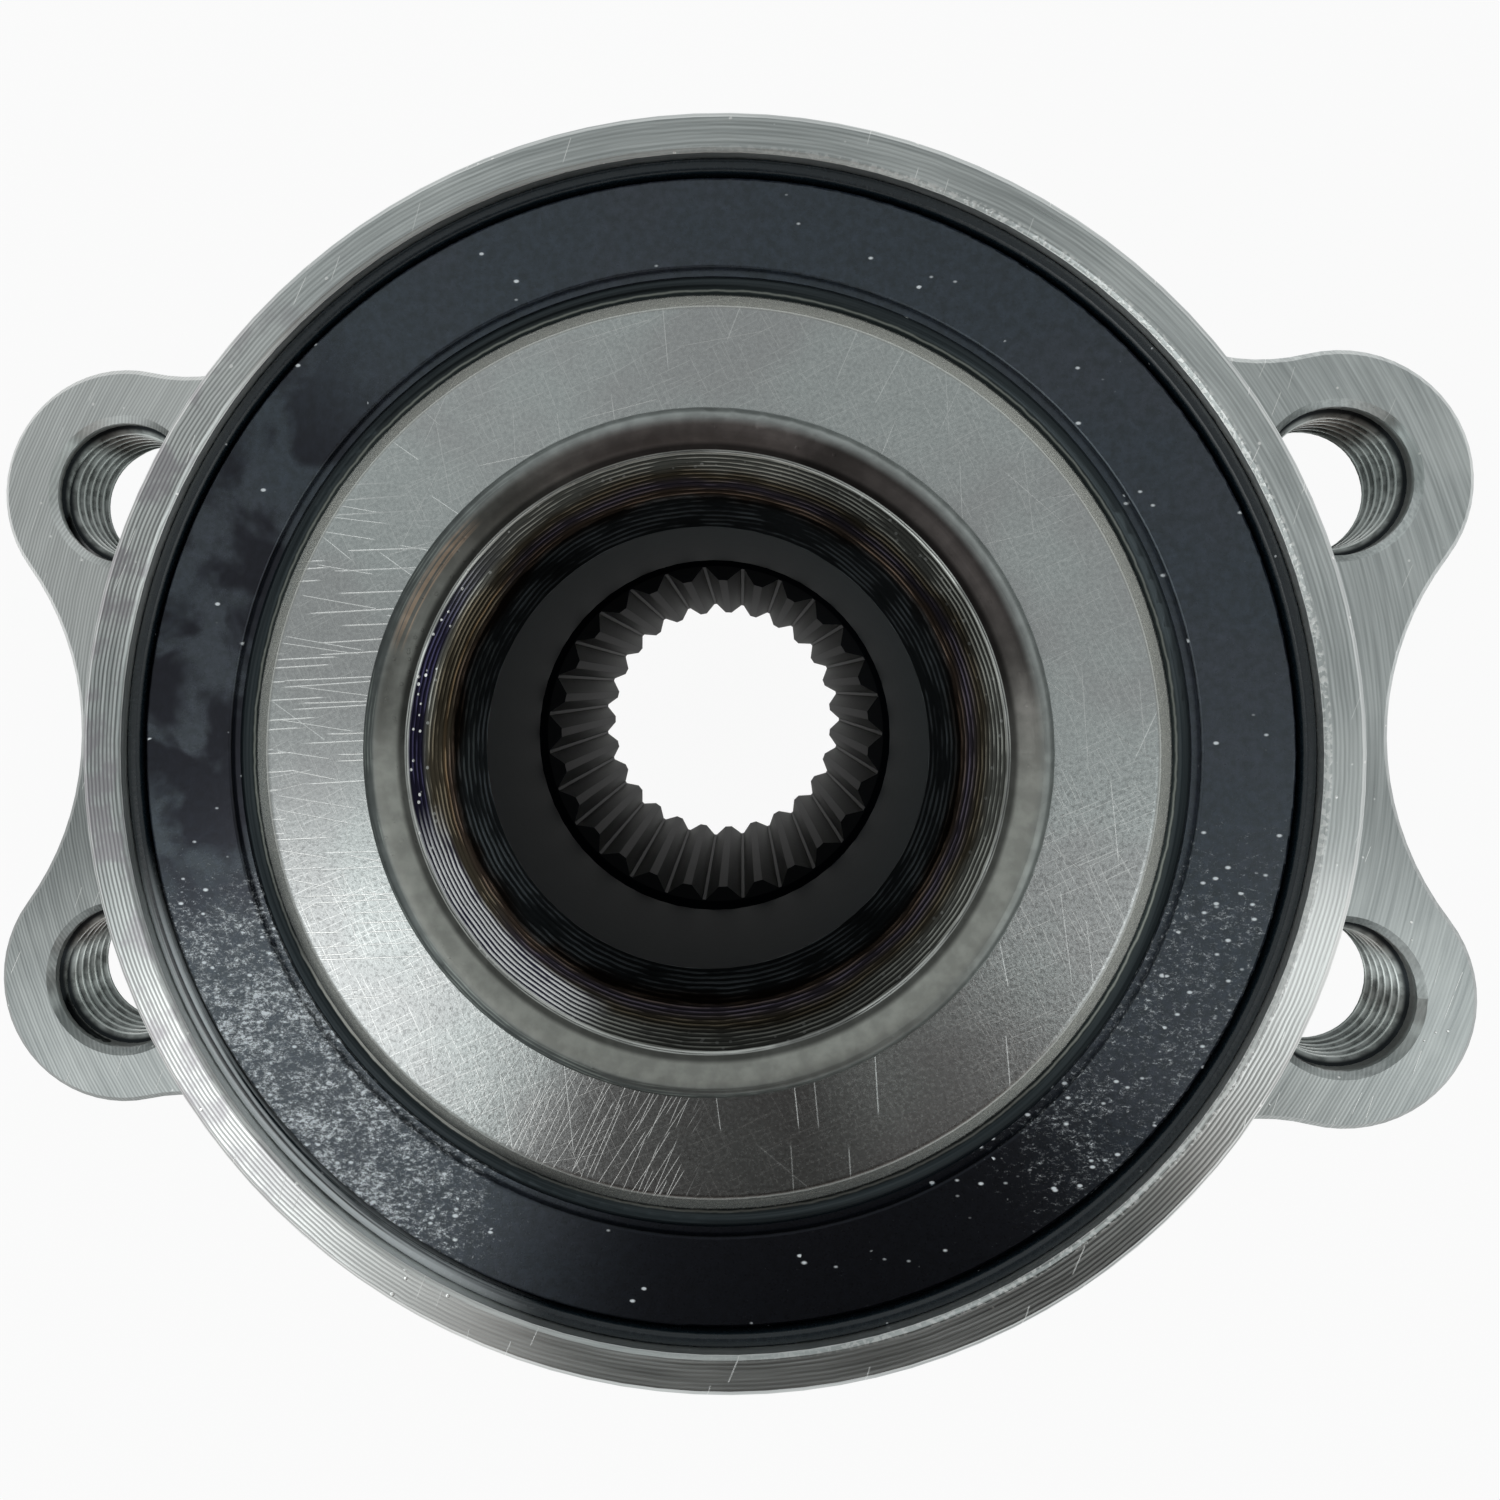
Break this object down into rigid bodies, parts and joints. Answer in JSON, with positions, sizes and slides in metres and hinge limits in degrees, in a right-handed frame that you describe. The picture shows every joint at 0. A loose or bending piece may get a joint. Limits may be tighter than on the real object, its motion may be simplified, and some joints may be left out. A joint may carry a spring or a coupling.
{
  "type": "wheel hub bearing",
  "caption": "Driven-wheel hub bearing unit: flanged outer ring with tapped lugs, splined spindle with wheel flange and studs, ball rows, and a seal with a speed encoder ring.",
  "frame": {"origin": "on the spin axis, in the face of the lug flange that bolts to the steering knuckle", "axes": "+Z along the spin axis, pointing inboard towards the vehicle; +X along the wide direction of the bolt lugs"},
  "size_m": [0.131, 0.131, 0.115],
  "materials": {
    "outer_ring_steel": "turned bearing steel, greenish grey, faint concentric tool marks",
    "spindle_steel": "turned and orbitally formed steel, heat tinted in the mouth, dark oxide in the bore",
    "ring_steel": "ground bearing steel with fine scratches",
    "ball_steel": "lapped bearing steel",
    "cage_plastic": "moulded polyamide",
    "seal_steel": "pressed steel",
    "slinger_steel": "pressed stainless steel",
    "seal_rubber": "moulded nitrile rubber, nearly black",
    "encoder_rubber": "magnetised rubber, dark brown-black with small bright specks",
    "stud_steel": "plated bolt steel"
  },
  "bodies": {
    "fixed_side": {"outer_ring": "outer_ring_steel", "inboard_seal_case": "seal_steel", "inboard_seal_rubber": "seal_rubber", "outboard_seal_case": "seal_steel", "outboard_seal_rubber": "seal_rubber"},
    "hub": {"hub_spindle": "spindle_steel", "inner_ring": "ring_steel", "slinger": "slinger_steel", "encoder_ring": "encoder_rubber", "wheel_stud_1": "stud_steel", "wheel_stud_2": "stud_steel", "wheel_stud_3": "stud_steel", "wheel_stud_4": "stud_steel", "wheel_stud_5": "stud_steel"},
    "inboard_row": {"inboard_cage": "cage_plastic", "inboard_ball_01": "ball_steel", "inboard_ball_02": "ball_steel", "inboard_ball_03": "ball_steel", "inboard_ball_04": "ball_steel", "inboard_ball_05": "ball_steel", "inboard_ball_06": "ball_steel", "inboard_ball_07": "ball_steel", "inboard_ball_08": "ball_steel", "inboard_ball_09": "ball_steel", "inboard_ball_10": "ball_steel", "inboard_ball_11": "ball_steel", "inboard_ball_12": "ball_steel", "inboard_ball_13": "ball_steel", "inboard_ball_14": "ball_steel", "inboard_ball_15": "ball_steel"},
    "outboard_row": {"outboard_cage": "cage_plastic", "outboard_ball_01": "ball_steel", "outboard_ball_02": "ball_steel", "outboard_ball_03": "ball_steel", "outboard_ball_04": "ball_steel", "outboard_ball_05": "ball_steel", "outboard_ball_06": "ball_steel", "outboard_ball_07": "ball_steel", "outboard_ball_08": "ball_steel", "outboard_ball_09": "ball_steel", "outboard_ball_10": "ball_steel", "outboard_ball_11": "ball_steel", "outboard_ball_12": "ball_steel", "outboard_ball_13": "ball_steel", "outboard_ball_14": "ball_steel", "outboard_ball_15": "ball_steel"}
  },
  "joints": [
    {"name": "hub_spin", "type": "hinge", "parent": "fixed_side", "child": "hub", "pos_m": [0, 0, 0], "axis": [0, 0, 1], "continuous": true},
    {"name": "inboard_row_roll", "type": "hinge", "parent": "fixed_side", "child": "inboard_row", "pos_m": [0, 0, 0.0115], "axis": [0, 0, 1], "continuous": true},
    {"name": "outboard_row_roll", "type": "hinge", "parent": "fixed_side", "child": "outboard_row", "pos_m": [0, 0, -0.0125], "axis": [0, 0, 1], "continuous": true}
  ],
  "couplings": [
    {"joint": "inboard_row_roll", "follows": "hub_spin", "ratio": 0.43135},
    {"joint": "outboard_row_roll", "follows": "hub_spin", "ratio": 0.43135}
  ]
}
